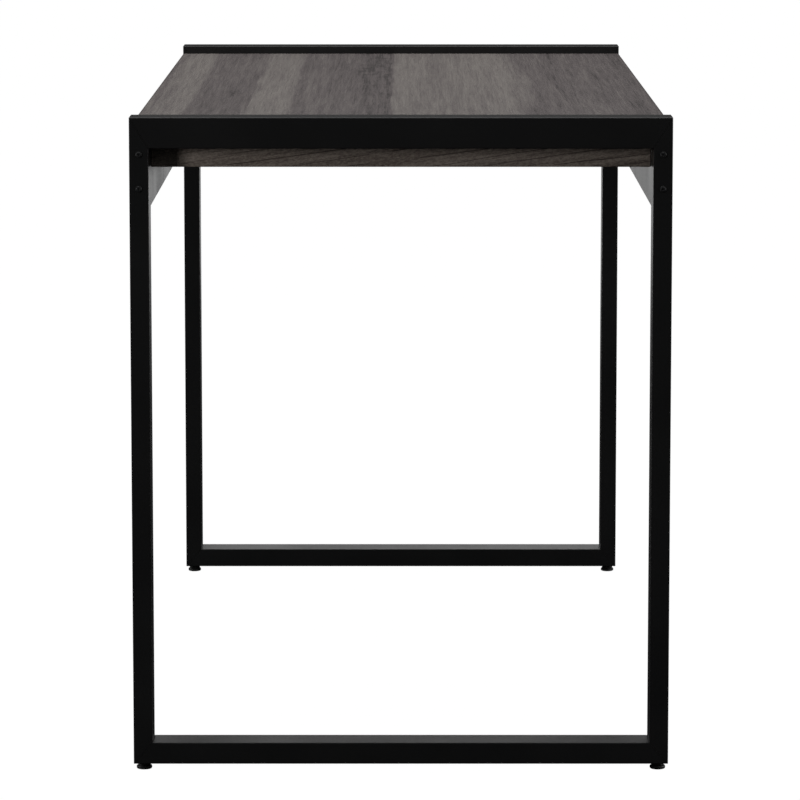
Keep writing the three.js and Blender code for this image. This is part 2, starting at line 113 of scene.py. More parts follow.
class Graph:
    """A material's node tree, with short calls for the nodes that the materials use."""

    def __init__(self, name):
        self.material = bpy.data.materials.new(name)
        self.material.use_nodes = True
        self.tree = self.material.node_tree
        self.shader = self.tree.nodes["Principled BSDF"]
        self.place = self.tree.nodes.new("ShaderNodeTexCoord").outputs["Object"]

    def put(self, socket, value):
        if isinstance(value, bpy.types.NodeSocket):
            self.tree.links.new(value, socket)
        else:
            socket.default_value = value

    def add(self, kind, inputs, **settings):
        node = self.tree.nodes.new("ShaderNode" + kind)
        for key, value in settings.items():
            setattr(node, key, value)
        for key, value in inputs.items():
            self.put(node.inputs[key], value)
        return node

    def mapped(self, stretch=(1, 1, 1), shift=(0, 0, 0), turn=(0, 0, 0), source=None):
        """The object's own place in space, turned by degrees, moved and stretched."""
        turned = self.place if source is None else source
        if any(turn):
            angles = tuple(math.radians(a) for a in turn)
            turned = self.add("Mapping", {"Vector": turned, "Rotation": angles}).outputs[0]
        return self.add(
            "Mapping", {"Vector": turned, "Location": shift, "Scale": stretch}
        ).outputs[0]

    def noise(self, vector, scale=1.0, detail=2.0, roughness=0.5, distortion=0.0):
        node = self.add(
            "TexNoise",
            {
                "Vector": vector,
                "Scale": scale,
                "Detail": detail,
                "Roughness": roughness,
                "Distortion": distortion,
            },
        )
        return node.outputs["Fac"]

    def math(self, operation, a, b=0.0, c=0.0):
        return self.add("Math", {0: a, 1: b, 2: c}, operation=operation).outputs[0]

    def product(self, first, *others):
        for value in others:
            first = self.math("MULTIPLY", first, value)
        return first

    def offset(self, value):
        """How far a value from 0 to 1 is from its middle."""
        return self.math("SUBTRACT", value, 0.5)

    def total(self, *terms):
        """The sum of (value, weight) pairs."""
        result = 0.0
        for value, weight in terms:
            result = self.math("MULTIPLY_ADD", value, weight, result)
        return result

    def span(self, value, low, high, to_low=0.0, to_high=1.0, smooth=True):
        """The value carried from low..high to to_low..to_high, and held at both limits."""
        node = self.add(
            "MapRange",
            {
                "Value": value,
                "From Min": low,
                "From Max": high,
                "To Min": to_low,
                "To Max": to_high,
            },
        )
        node.interpolation_type = "SMOOTHSTEP" if smooth else "LINEAR"
        return node.outputs["Result"]

    def split(self, vector):
        return self.add("SeparateXYZ", {"Vector": vector}).outputs

    def ramp(self, value, stops):
        node = self.add("ValToRGB", {"Fac": value})
        fill_ramp(node, stops)
        return node.outputs["Color"]

    def mix(self, factor, a, b, blend="MIX"):
        node = self.add("Mix", {}, data_type="RGBA", blend_type=blend)
        self.put(node.inputs[0], factor)
        for socket, value in ((node.inputs[6], a), (node.inputs[7], b)):
            linked = isinstance(value, bpy.types.NodeSocket)
            self.put(socket, value if linked else (*value, 1.0))
        return node.outputs[2]

    def bump(self, height, distance, strength=1.0, under=None):
        inputs = {"Height": height, "Distance": distance, "Strength": strength}
        if under is not None:
            inputs["Normal"] = under
        return self.add("Bump", inputs).outputs["Normal"]

    def surface(self, **inputs):
        """Sets the shader's sockets: underscores stand for the spaces in their names."""
        for key, value in inputs.items():
            if isinstance(value, tuple):
                value = (*value, 1.0)
            self.put(self.shader.inputs[key.replace("_", " ")], value)
        return self.material


# ---- Materials ----

def powder_coat():
    """Near-black satin powder coat: a fine orange peel, soft clouding and specks of dust."""
    g = Graph("powder_coat")
    clouds = g.noise(g.mapped(), scale=9, detail=3)
    peel = g.noise(g.mapped(), scale=650, detail=2, roughness=0.6)
    grit = g.noise(g.mapped(), scale=2600, detail=1)
    specks = g.span(g.noise(g.mapped(), scale=900, detail=2), 0.70, 0.76)
    shade = g.total((clouds, 0.6), (peel, 0.4))
    base = g.ramp(shade, [(0.3, (0.0058, 0.0058, 0.0060)), (0.7, (0.0090, 0.0090, 0.0092))])
    base = g.mix(g.product(specks, 0.25), base, (0.03, 0.03, 0.03))
    roughness = g.span(g.total((clouds, 0.5), (peel, 0.5)), 0.3, 0.7, 0.33, 0.43)
    height = g.total((peel, 0.8), (grit, 0.2))
    return g.surface(
        Base_Color=base, Roughness=roughness, IOR=1.5, Normal=g.bump(height, 0.00006, 0.35)
    )


def plastic(name, tint):
    """Moulded plastic with a fine spark-eroded texture."""
    g = Graph(name)
    grain = g.noise(g.mapped(), scale=1500, detail=2)
    clouds = g.noise(g.mapped(), scale=60, detail=2)
    dark = tuple(0.6 * c for c in tint)
    base = g.ramp(g.total((grain, 0.5), (clouds, 0.5)), [(0.3, dark), (0.7, tint)])
    roughness = g.span(grain, 0.3, 0.7, 0.42, 0.6)
    return g.surface(Base_Color=base, Roughness=roughness, Normal=g.bump(grain, 0.00008, 0.5))


def drawn_metal(name, tint, roughness, along, streaks=1.0, metallic=1.0):
    """Plated or oiled steel with drawing lines along one axis, and a cloudy finish."""
    g = Graph(name)
    stretch = tuple(12 if i == along else 900 for i in range(3))
    lines = g.noise(g.mapped(stretch), detail=3, roughness=0.6)
    clouds = g.noise(g.mapped(), scale=40, detail=3)
    shade = g.total((lines, 0.4 * streaks), (clouds, 1 - 0.4 * streaks))
    dark = tuple(0.72 * c for c in tint)
    base = g.ramp(shade, [(0.3, dark), (0.7, tint)])
    rough = g.span(shade, 0.3, 0.7, roughness - 0.07, roughness + 0.09)
    height = g.bump(lines, 0.00003, 0.4 * streaks)
    return g.surface(Base_Color=base, Roughness=rough, Metallic=metallic, Normal=height)


# The laminate's print: broad light and dark boards side by side, from the front edge (0) to the
# rear one (1), each with a tone from 0, the darkest heartwood, to 1, the palest sapwood.
BOARD_TONES = [
    (0.000, 0.46), (0.012, 0.68), (0.022, 0.60), (0.030, 0.86), (0.083, 0.85), (0.088, 0.36),
    (0.200, 0.32), (0.210, 0.82), (0.225, 0.88), (0.282, 0.82), (0.288, 0.42), (0.385, 0.36),
    (0.400, 0.28), (0.412, 0.20), (0.482, 0.18), (0.489, 0.93), (0.555, 0.76), (0.580, 0.70),
    (0.600, 0.80), (0.690, 0.90), (0.722, 0.85), (0.728, 0.58), (0.736, 0.78), (0.745, 0.42),
    (0.765, 0.36), (0.830, 0.28), (0.900, 0.38), (0.975, 0.26), (0.992, 0.08),
]


def grain_tones(g, grain):
    """Growth streaks at three widths, and the pores, along the grain's first axis."""
    wide = g.noise(g.mapped((1.5, 42, 42), source=grain), detail=3, roughness=0.62)
    middle = g.noise(g.mapped((4, 150, 150), (3, 1, 2), source=grain), detail=3, roughness=0.6)
    fine = g.noise(g.mapped((10, 400, 400), (7, 5, 1), source=grain), detail=2, roughness=0.7)
    pore = g.noise(g.mapped((36, 1400, 1400), (2, 8, 4), source=grain), detail=1)
    streaks = [g.span(value, 0.36, 0.64, -0.5, 0.5, smooth=False) for value in (wide, middle, fine)]
    return *streaks, g.span(pore, 0.62, 0.72)


def cathedral(g, grain, centre, reach, rings):
    """Nested arches of grain round a centre, and how strongly they show there.

    reach is their half length along the grain and their half width across it, in metres.
    """
    length, width = reach
    stretch = (width / length, 1, 1)
    shift = tuple(-c * s for c, s in zip((*centre, 0), stretch))
    place = g.mapped(stretch, shift, source=grain)
    wobble = g.noise(g.mapped((2.5, 18, 18), source=grain), detail=2)
    radius = g.add("VectorMath", {0: place}, operation="LENGTH").outputs["Value"]
    radius = g.math("MULTIPLY_ADD", g.offset(wobble), 0.45 * width, radius)
    wave = g.math("SINE", g.product(radius, 2 * math.pi * rings / width))
    lines = g.span(wave, -1, 1, smooth=False)
    return lines, g.span(radius, 0.35 * width, width, 1, 0)


def finish_wood(g, tone, pores, heights, palette, smoothest):
    """Colours a print by its tone, darkens its pores and presses its grain in."""
    base = g.ramp(tone, palette)
    base = g.mix(g.product(pores, 0.24), base, (0.028, 0.024, 0.024))
    height = g.total(*heights, (pores, -0.6))
    shine = g.total((tone, 0.5), (pores, 0.5))
    return g.surface(
        Base_Color=base,
        Roughness=g.span(shine, 0.0, 1.0, smoothest, smoothest + 0.14),
        Specular_IOR_Level=0.32,
        Normal=g.bump(height, 0.0003, 0.35),
    )


DESKTOP_PALETTE = [
    (0.00, (0.060, 0.052, 0.051)),
    (0.12, (0.094, 0.081, 0.080)),
    (0.36, (0.122, 0.105, 0.104)),
    (0.58, (0.149, 0.132, 0.126)),
    (1.00, (0.200, 0.181, 0.168)),
]
END_PALETTE = [
    (0.00, (0.050, 0.040, 0.034)),
    (0.25, (0.098, 0.081, 0.069)),
    (0.55, (0.146, 0.122, 0.104)),
    (1.00, (0.225, 0.194, 0.168)),
]


def between(g, value, low, high, edge):
    """One between low and high, fading to zero over the edge's width."""
    return g.product(g.span(value, low, low + edge), g.span(value, high - edge, high, 1, 0))


def desktop_laminate():
    """Grey-brown oak print with its grain along the desk, in broad light and dark boards."""
    g = Graph("desktop_laminate")
    wide, middle, fine, pores = grain_tones(g, g.place)
    drift = g.noise(g.mapped((0.9, 3.2, 3.2)), detail=2)
    ripple = g.noise(g.mapped((5, 22, 22)), detail=2)
    x, y, _ = g.split(g.place)
    bent = g.total((y, 1.0), (g.offset(drift), 0.030), (g.offset(ripple), 0.012), (middle, 0.004))
    across = g.math("MULTIPLY_ADD", bent, 1 / DESK_DEPTH, 0.5)
    boards = g.ramp(across, BOARD_TONES)
    arches, near_arch = cathedral(g, g.place, (0.36, 0.232), (0.60, 0.075), 7)
    pale_arches, near_pale = cathedral(g, g.place, (0.10, 0.062), (0.75, 0.060), 7)
    knots = g.noise(g.mapped((6, 21, 21), (0, 3, 0)), detail=3, distortion=1.6)
    veins = g.span(g.math("ABSOLUTE", g.offset(knots)), 0.01, 0.06, 1, 0)
    heartwood = between(g, across, 0.405, 0.492, 0.02)
    figure = g.product(veins, heartwood, g.span(x, -0.35, 0.05, 1, 0.25))
    wedge = g.product(between(g, across, 0.186, 0.216, 0.01), g.span(x, 0.0, 0.5))
    sliver = g.product(between(g, across, 0.738, 0.768, 0.008), between(g, x, -0.3, 0.45, 0.2))
    arch_tone = g.product(g.offset(arches), near_arch)
    pale_tone = g.product(g.offset(pale_arches), near_pale)
    tone = g.total(
        (boards, 0.80),
        (wide, 0.20),
        (middle, 0.27),
        (fine, 0.32),
        (arch_tone, 0.24),
        (pale_tone, 0.26),
        (wedge, 0.22),
        (sliver, 0.26),
        (figure, -0.22),
        (1.0, 0.06),
    )
    heights = [(fine, 0.6), (middle, 0.5), (arch_tone, 0.25)]
    return finish_wood(g, tone, pores, heights, DESKTOP_PALETTE, 0.42)


CHECK_SPACING = 11 * MM
GRAIN_TILT = -8.5  # degrees between the end board's grain and its length


def crosswise_laminate():
    """The end boards' print: grain across the desk, slightly out of line, with thin dark checks."""
    g = Graph("end_board_laminate")
    grain = g.mapped(turn=(GRAIN_TILT, 0, 0))
    x, y, z = g.split(grain)
    swapped = g.add("CombineXYZ", {"X": y, "Y": z, "Z": x}).outputs[0]
    wide, middle, fine, pores = grain_tones(g, swapped)
    drift = g.noise(g.mapped((5, 40, 5), source=swapped), detail=2)
    lane = g.math("FRACT", g.total((z, 1 / CHECK_SPACING), (drift, 1.3)))
    offline = g.math("ABSOLUTE", g.offset(lane))
    breaks = g.noise(g.mapped((9, 60, 9), (4, 4, 4), source=swapped), detail=1)
    crack = g.product(g.span(offline, 0.015, 0.045, 1, 0), g.span(breaks, 0.42, 0.50))
    flecks = g.noise(g.mapped((300, 620, 620), source=swapped), detail=2, roughness=0.7)
    flecks = g.span(flecks, 0.36, 0.64, -0.5, 0.5, smooth=False)
    tone = g.total(
        (wide, 0.16), (middle, 0.26), (fine, 0.28), (flecks, 0.54), (crack, -1.25), (1.0, 0.58)
    )
    heights = [(fine, 0.6), (middle, 0.5), (crack, -0.8)]
    return finish_wood(g, tone, pores, heights, END_PALETTE, 0.44)


def backing():
    """The plain melamine backing under the boards: one brown-grey, with a faint pressed texture."""
    g = Graph("board_backing")
    press = g.noise(g.mapped(), scale=420, detail=3)
    clouds = g.noise(g.mapped(), scale=6, detail=3)
    shade = g.total((press, 0.4), (clouds, 0.6))
    base = g.ramp(shade, [(0.3, (0.058, 0.050, 0.044)), (0.7, (0.082, 0.071, 0.063))])
    roughness = g.span(press, 0.3, 0.7, 0.5, 0.62)
    return g.surface(Base_Color=base, Roughness=roughness, Normal=g.bump(press, 0.00015, 0.4))


STEEL = powder_coat()
DESKTOP_WOOD = desktop_laminate()
END_WOOD = crosswise_laminate()
BACKING = backing()
FOOT_PLASTIC = plastic("foot_plastic", (0.010, 0.010, 0.010))
INSERT_PLASTIC = plastic("insert_plastic", (0.014, 0.014, 0.014))
X, Y, Z = range(3)
ZINC_SLIDE = drawn_metal("zinc_slide", (0.62, 0.64, 0.66), 0.30, Y)
ZINC_SCREW = drawn_metal("zinc_screw", (0.60, 0.61, 0.62), 0.26, Z, streaks=0.3)
BALL_STEEL = drawn_metal("ball_steel", (0.72, 0.73, 0.74), 0.14, Z, streaks=0.2)
BLACK_OXIDE = drawn_metal("black_oxide", (0.014, 0.014, 0.015), 0.52, X, streaks=0.3, metallic=0.0)


# ---- Mesh helpers ----

def piece(name, bm, *materials):
    """A new object from a bmesh, shaded smooth up to an angle, with flats kept flat."""
    bmesh.ops.recalc_face_normals(bm, faces=bm.faces)
    mesh = bpy.data.meshes.new(name)
    bm.to_mesh(mesh)
    bm.free()
    for material in materials:
        mesh.materials.append(material)
    for polygon in mesh.polygons:
        polygon.use_smooth = True
    mesh.set_sharp_from_angle(angle=math.radians(SMOOTH_UP_TO))
    obj = bpy.data.objects.new(name, mesh)
    bpy.context.scene.collection.objects.link(obj)
    keep_flats(obj)
    return obj


def keep_flats(obj):
    """Flat faces stay flat beside rounded edges."""
    flats = obj.modifiers.new("flats", "WEIGHTED_NORMAL")
    flats.keep_sharp = True


def stand_for(obj, node):
    """The piece takes the CAD node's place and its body."""
    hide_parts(node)
    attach(obj, BODY_OF[node])
    return obj


def fasten(obj, body):
    """A small piece that has no CAD node of its own."""
    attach(obj, body)


def skin(bm, rings, closed=False):
    """Faces from each ring of points to the next, and a cap on each end or a link back."""
    loops = [[bm.verts.new(point) for point in ring] for ring in rings]
    pairs = list(zip(loops, loops[1:]))
    if closed:
        pairs.append((loops[-1], loops[0]))
    for near, far in pairs:
        count = len(near)
        for i in range(count):
            j = (i + 1) % count
            bm.faces.new((near[i], near[j], far[j], far[i]))
    if not closed:
        bm.faces.new(loops[0])
        bm.faces.new(loops[-1])


CORNER_STEPS = 5


def rounded_ring(width, height, radius):
    """A rectangle round (0, 0) with rounded corners, anticlockwise from its lower right one."""
    points = []
    for right, up, start in ((1, -1, -90), (1, 1, 0), (-1, 1, 90), (-1, -1, 180)):
        for step in range(CORNER_STEPS + 1):
            angle = math.radians(start + 90 * step / CORNER_STEPS)
            a = right * (width / 2 - radius) + radius * math.cos(angle)
            b = up * (height / 2 - radius) + radius * math.sin(angle)
            points.append((a, b))
    return points


def matching_circle(radius):
    """A circle with as many points as a rounded ring, each beside the ring's own."""
    count = 4 * (CORNER_STEPS + 1)
    step = 2 * math.pi / count
    first = -math.pi / 4 - CORNER_STEPS * step / 2
    return [
        (radius * math.cos(first + i * step), radius * math.sin(first + i * step))
        for i in range(count)
    ]


def board(name, low, high, top, under=None, *, edge, steps=3):
    """A board with its edges broken. under is the material of its lower face, if it differs."""
    bm = bmesh.new()
    bmesh.ops.create_cube(bm, size=1)
    for vert in bm.verts:
        vert.co = Vector(low[i] if vert.co[i] < 0 else high[i] for i in range(3))
    bmesh.ops.bevel(
        bm, geom=list(bm.edges), offset=edge, segments=steps, profile=0.5, affect="EDGES"
    )
    bm.normal_update()
    if under is not None:
        for face in bm.faces:
            if face.normal.z < -0.9:
                face.material_index = 1
    return piece(name, bm, top, *([under] if under else []))


def rings_round(profile, place, sides=FAN_SIDES):
    """A ring for each (radius, height). A radius may be a function of the angle."""
    rings = []
    for radius, height in profile:
        ring = []
        for i in range(sides):
            angle = 2 * math.pi * i / sides
            reach = radius(angle) if callable(radius) else radius
            ring.append(place(reach * math.cos(angle), reach * math.sin(angle), height))
        rings.append(ring)
    return rings


def upright(x, y, z, way=1):
    """Places a turned profile on a vertical axis, pointing up (1) or down (-1) from (x, y, z)."""
    return lambda a, b, height: Vector((x + a, y + b, z + way * height))


def sideways(way, x, y, z):
    """Places a turned profile on an axis along X, pointing right (1) or left (-1)."""
    return lambda a, b, height: Vector((x + way * height, y + a, z + b))


def hexagon(flats):
    """The radius of a hexagon, from its width across the flats."""
    return lambda angle: flats / 2 / math.cos((angle + math.pi / 6) % (math.pi / 3) - math.pi / 6)


def cross(arm, half_width):
    """The radius of a cross recess."""

    def reach(angle):
        c = max(abs(math.cos(angle)), 1e-6)
        s = max(abs(math.sin(angle)), 1e-6)
        return max(min(arm / c, half_width / s), min(arm / s, half_width / c))

    return reach


def helix(core, crest, pitch, height):
    """The radius of a thread's flank at one height."""

    def reach(angle):
        phase = (height / pitch - angle / (2 * math.pi)) % 1
        return core + (crest - core) * (1 - abs(2 * phase - 1))

    return reach


def filleted(path, radius, steps=4):
    """A flat path with each of its corners rounded."""
    points = [Vector(path[0])]
    for before, corner, after in zip(path, path[1:], path[2:]):
        corner = Vector(corner)
        back = (Vector(before) - corner).normalized()
        on = (Vector(after) - corner).normalized()
        half = back.angle(on) / 2
        centre = corner + (back + on).normalized() * radius / math.sin(half)
        reach = radius / math.tan(half)
        first = corner + back * reach - centre
        last = corner + on * reach - centre
        for step in range(steps + 1):
            spoke = first.lerp(last, step / steps)
            points.append(centre + spoke.normalized() * radius)
    points.append(Vector(path[-1]))
    return points


def folded(path, thickness, bend):
    """The outline of a folded sheet from the middle line of its section."""
    line = filleted(path, bend)
    left, right = [], []
    for i, point in enumerate(line):
        run = line[min(i + 1, len(line) - 1)] - line[max(i - 1, 0)]
        out = Vector((-run.y, run.x)).normalized() * thickness / 2
        left.append(point + out)
        right.append(point - out)
    return left + right[::-1]


def drill(obj, centres, radius, depth):
    """Bores upright round holes into a piece, centred on the points given."""
    bm = bmesh.new()
    for centre in centres:
        made = bmesh.ops.create_cone(
            bm, cap_ends=True, segments=32, radius1=radius, radius2=radius, depth=depth
        )
        for vert in made["verts"]:
            vert.co += Vector(centre)
    mesh = bpy.data.meshes.new("bores")
    bm.to_mesh(mesh)
    bm.free()
    cutter = bpy.data.objects.new("bores", mesh)
    bpy.context.scene.collection.objects.link(cutter)
    obj.modifiers.clear()
    hole = obj.modifiers.new("holes", "BOOLEAN")
    hole.object = cutter
    hole.solver = "EXACT"
    depsgraph = bpy.context.evaluated_depsgraph_get()
    bored = bpy.data.meshes.new_from_object(obj.evaluated_get(depsgraph))
    obj.modifiers.clear()
    obj.data = bored
    bored.set_sharp_from_angle(angle=math.radians(SMOOTH_UP_TO))
    keep_flats(obj)
    bpy.data.objects.remove(cutter)
    return obj


def mouths_over(nodes, height):
    """The middles of the nodes' boxes seen from above, as points at one height."""
    boxes = [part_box(node) for node in nodes]
    return [((low.x + high.x) / 2, (low.y + high.y) / 2, height) for low, high in boxes]


# ---- End frames ----

MITRE_REACH = 0.16 * MM  # ground welds close most of the gap between two tubes
MITRE_BREAK = 0.26 * MM  # and leave a hairline round the joint
INSERT_HOLE = 6.3 * MM  # radius


def mitred_tube(node, place, face, run, slopes, mouths=()):
    """A hollow tube whose ends lean inwards by their slopes across its face.

    mouths are the middles of the holes in its lower wall, which take the feet's inserts.
    """
    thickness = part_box(node)[1].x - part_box(node)[0].x

    def ring(shrink, radius, inset):
        section = rounded_ring(face - 2 * shrink, thickness - 2 * shrink, radius)
        points = []
        for u, v in section:
            across = u + face / 2
            start = run[0] + slopes[0] * across + inset - MITRE_REACH
            end = run[1] - slopes[1] * across - inset + MITRE_REACH
            points.append((across, v, start, end))
        return points

    inner = ring(TUBE_WALL, TUBE_CORNER / 2, 0)
    broken = ring(MITRE_BREAK, TUBE_CORNER - MITRE_BREAK, 0)
    outer = ring(0, TUBE_CORNER, MITRE_BREAK)
    starts = [[place(u, v, start) for u, v, start, _ in part] for part in (inner, broken, outer)]
    ends = [[place(u, v, end) for u, v, _, end in part] for part in (outer, broken, inner)]
    bm = bmesh.new()
    skin(bm, starts + ends, closed=True)
    tube = piece(f"{node}_tube", bm, STEEL)
    if mouths:
        drill(tube, mouths, INSERT_HOLE, 4 * TUBE_WALL)
    return stand_for(tube, node)


def end_frame(side):
    """Two legs between a top and a bottom rail, mitred at the corners.

    A place function carries (from the outer face, across, along) into the desk's own axes.
    """
    top, bottom = f"{side}_top_rail", f"{side}_bottom_rail"
    low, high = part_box(top)
    middle = (low.x + high.x) / 2
    top_face = high.z - low.z
    bottom_low, bottom_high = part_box(bottom)
    bottom_face = bottom_high.z - bottom_low.z
    for end, way in ENDS.items():
        node = f"{side}_{end}_leg"
        leg_low, leg_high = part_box(node)
        leg_face = leg_high.y - leg_low.y
        outer = leg_low.y if way < 0 else leg_high.y

        def place_leg(u, v, w, outer=outer, way=way):
            return Vector((middle + v, outer - way * u, w))

        slopes = (bottom_face / leg_face, top_face / leg_face)
        mitred_tube(node, place_leg, leg_face, (leg_low.z, leg_high.z), slopes)

    def place_top(u, v, w):
        return Vector((middle + v, w, high.z - u))

    def place_bottom(u, v, w):
        return Vector((middle + v, w, bottom_low.z + u))

    run = (low.y, high.y)
    mitred_tube(top, place_top, top_face, run, (leg_face / top_face,) * 2)
    mouths = mouths_over([f"{side}_{end}_foot_insert" for end in ENDS], bottom_low.z)
    mitred_tube(bottom, place_bottom, bottom_face, run, (leg_face / bottom_face,) * 2, mouths)


# ---- Feet ----

PAD_HEIGHT = 4.6 * MM
PAD_SWELL = 1.2 * MM  # how far the pad's rim bulges
NECK_RADIUS = 7.5 * MM
HEX_FLATS, HEX_TOP_FLATS = 12.6 * MM, 11.9 * MM
HEX_GAP = 0.3 * MM  # under the insert
STUD_CORE, STUD_CREST, STUD_TIP = 3.25 * MM, 3.85 * MM, 0.6 * MM
STUD_PITCH = 1.25 * MM
RINGS_PER_TURN = 6
FOOT_SIDES = 36


def levelling_foot(side, end):
    """A round pad, a hexagon and a threaded stud, in one moulding."""
    node = f"{side}_{end}_levelling_foot"
    low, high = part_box(node)
    centre = (low + high) / 2
    pad = (high.x - low.x) / 2
    hex_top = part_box(f"{side}_{end}_foot_insert")[0].z - HEX_GAP
    middle = PAD_HEIGHT / 2
    profile = [(pad - 2.2 * MM, 0), (pad - 1.4 * MM, 0.2 * MM)]
    for step in range(7):
        angle = math.radians(-90 + 30 * step)
        reach = pad - PAD_SWELL + PAD_SWELL * math.cos(angle)
        profile.append((reach, middle + (middle - 0.3 * MM) * math.sin(angle)))
    profile += [(pad - 1.8 * MM, PAD_HEIGHT), (NECK_RADIUS, PAD_HEIGHT)]
    flats = hexagon(HEX_FLATS)
    profile += [(flats, PAD_HEIGHT + 0.2 * MM), (flats, hex_top - 0.4 * MM)]
    profile.append((hexagon(HEX_TOP_FLATS), hex_top))
    rise = STUD_PITCH / RINGS_PER_TURN
    for step in range(int((high.z - hex_top) / rise)):
        height = hex_top + step * rise
        profile.append((helix(STUD_CORE, STUD_CREST, STUD_PITCH, height), height))
    profile += [(STUD_CORE, high.z - STUD_TIP), (STUD_CORE - STUD_TIP, high.z)]
    bm = bmesh.new()
    skin(bm, rings_round(profile, upright(centre.x, centre.y, 0), FOOT_SIDES))
    stand_for(piece(f"{node}_moulding", bm, FOOT_PLASTIC), node)


FLANGE_HEIGHT = 2 * MM
SLEEVE_BORE, SLEEVE_RADIUS = 4.2 * MM, 6 * MM
SLEEVE_EDGE = 0.6 * MM


def foot_insert(side, end):
    """The threaded sleeve in the rail, with a rounded flange under it."""
    node = f"{side}_{end}_foot_insert"
    low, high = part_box(node)
    centre = (low + high) / 2
    flange = (high.x - low.x) / 2
    height = high.z - low.z
    profile = [
        (SLEEVE_BORE, 0.4 * MM),
        (SLEEVE_BORE + 0.4 * MM, 0),
        (flange - SLEEVE_EDGE, 0),
        (flange - 0.17 * MM, 0.17 * MM),
        (flange, SLEEVE_EDGE),
        (flange, FLANGE_HEIGHT),
        (SLEEVE_RADIUS, FLANGE_HEIGHT),
        (SLEEVE_RADIUS, height - SLEEVE_EDGE),
        (SLEEVE_RADIUS - SLEEVE_EDGE, height),
        (SLEEVE_BORE, height),
    ]
    bm = bmesh.new()
    skin(bm, rings_round(profile, upright(centre.x, centre.y, low.z)), closed=True)
    stand_for(piece(f"{node}_sleeve", bm, INSERT_PLASTIC), node)


# ---- Bolts and screws ----

BOLT_HEAD_HEIGHT = 2.2 * MM
BOLT_SHANK, BOLT_TIP = 2 * MM, 1.4 * MM
BOLT_CROWN = 1.8 * MM  # the radius of the head's flat top
SOCKET_FLATS, SOCKET_RIM_FLATS = 2.5 * MM, 2.9 * MM
SOCKET_DEPTH, SOCKET_BEVEL = 1.3 * MM, 0.2 * MM


def apron_bolt(side, end, level):
    """A black button head bolt: a dome with a hexagon socket, and its shank."""
    node = f"{side}_{end}_{level}_bolt"
    way = SIDES[side]
    low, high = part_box(node)
    centre = (low + high) / 2
    seat = CAD_BOX[1].x - BOLT_HEAD_HEIGHT
    head = (high.z - low.z) / 2
    tall = BOLT_HEAD_HEIGHT
    tip = low.x - high.x + tall
    profile = [(BOLT_TIP, tip), (BOLT_SHANK, tip + BOLT_SHANK - BOLT_TIP)]
    profile += [(BOLT_SHANK, 0), (head - SHARP, 0)]
    for step in range(8):
        angle = math.radians(6 + 84 * step / 8)
        reach = BOLT_CROWN + (head - BOLT_CROWN) * math.cos(angle)
        profile.append((reach, tall * math.sin(angle)))
    socket = hexagon(SOCKET_FLATS)
    profile += [(BOLT_CROWN, tall), (hexagon(SOCKET_RIM_FLATS), tall)]
    profile += [(socket, tall - SOCKET_BEVEL), (socket, tall - SOCKET_DEPTH)]
    bm = bmesh.new()
    skin(bm, rings_round(profile, sideways(way, way * seat, centre.y, centre.z)))
    stand_for(piece(f"{node}_button_head", bm, BLACK_OXIDE), node)


def crossed_head(radius, tall):
    """The profile of a low domed head with a cross recess, from its rim to the recess's floor."""
    flat = 0.62 * radius
    profile = [(radius, 0.25 * tall)]
    for step in range(1, 6):
        angle = math.radians(90 * step / 6)
        reach = flat + (radius - flat) * math.cos(angle)
        profile.append((reach, tall * (0.3 + 0.7 * math.sin(angle))))
    arm, half = 0.56 * radius, 0.15 * radius
    profile.append((flat, tall))
    profile.append((cross(arm, half), tall - 0.02 * MM))
    profile.append((cross(0.8 * arm, 0.8 * half), 0.35 * tall))
    return profile


WOOD_SCREW_HEAD_HEIGHT = 2.4 * MM
WOOD_SCREW_SHANK, WOOD_SCREW_TIP = 1.9 * MM, 0.4 * MM
WOOD_SCREW_POINT = 4 * MM  # the length of its point


def wood_screw(node):
    """A domed screw driven up into the desktop."""
    low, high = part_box(node)
    centre = (low + high) / 2
    radius = (high.x - low.x) / 2
    tall = WOOD_SCREW_HEAD_HEIGHT
    tip = low.z - high.z
    shank = [(WOOD_SCREW_TIP, tip), (WOOD_SCREW_SHANK, tip + WOOD_SCREW_POINT)]
    shank += [(WOOD_SCREW_SHANK, -tall), (radius, -tall)]
    head = [(reach, height - tall) for reach, height in crossed_head(radius, tall)]
    bm = bmesh.new()
    skin(bm, rings_round(shank + head, upright(centre.x, centre.y, low.z, -1)))
    stand_for(piece(f"{node}_crossed_head", bm, ZINC_SCREW), node)


SMALL_SCREW_RADIUS, SMALL_SCREW_HEAD_HEIGHT = 3.2 * MM, 1.7 * MM
SMALL_SCREW_SHANK, SMALL_SCREW_TIP = 1.5 * MM, 1.2 * MM
SMALL_SCREW_LENGTH = 3.4 * MM
SMALL_SCREW_CLEARANCE = 0.02 * MM  # under its head
SMALL_SCREW_SIDES = 32


def small_screw(name, body, place):
    """A thread-forming screw that holds one sheet to another."""
    seat = SMALL_SCREW_CLEARANCE
    shank = [
        (SMALL_SCREW_TIP, -SMALL_SCREW_LENGTH),
        (SMALL_SCREW_SHANK, 0.4 * MM - SMALL_SCREW_LENGTH),
        (SMALL_SCREW_SHANK, seat),
        (SMALL_SCREW_RADIUS, seat),
    ]
    head = crossed_head(SMALL_SCREW_RADIUS, SMALL_SCREW_HEAD_HEIGHT)
    bm = bmesh.new()
    skin(bm, rings_round(shank + head, place, SMALL_SCREW_SIDES))
    fasten(piece(name, bm, ZINC_SCREW), body)


# ---- Desktop, end boards and aprons ----

def desktop():
    low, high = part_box("desktop")
    stand_for(board("desktop_board", low, high, DESKTOP_WOOD, BACKING, edge=0.15 * MM), "desktop")
    for end in ENDS:
        node = f"desktop_edge_band_{end}"
        low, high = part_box(node)
        stand_for(board(f"{node}_strip", low, high, DESKTOP_WOOD, edge=0.4 * MM), node)


COUNTERBORE_RADIUS, COUNTERBORE_DEPTH = 4.3 * MM, 5.1 * MM


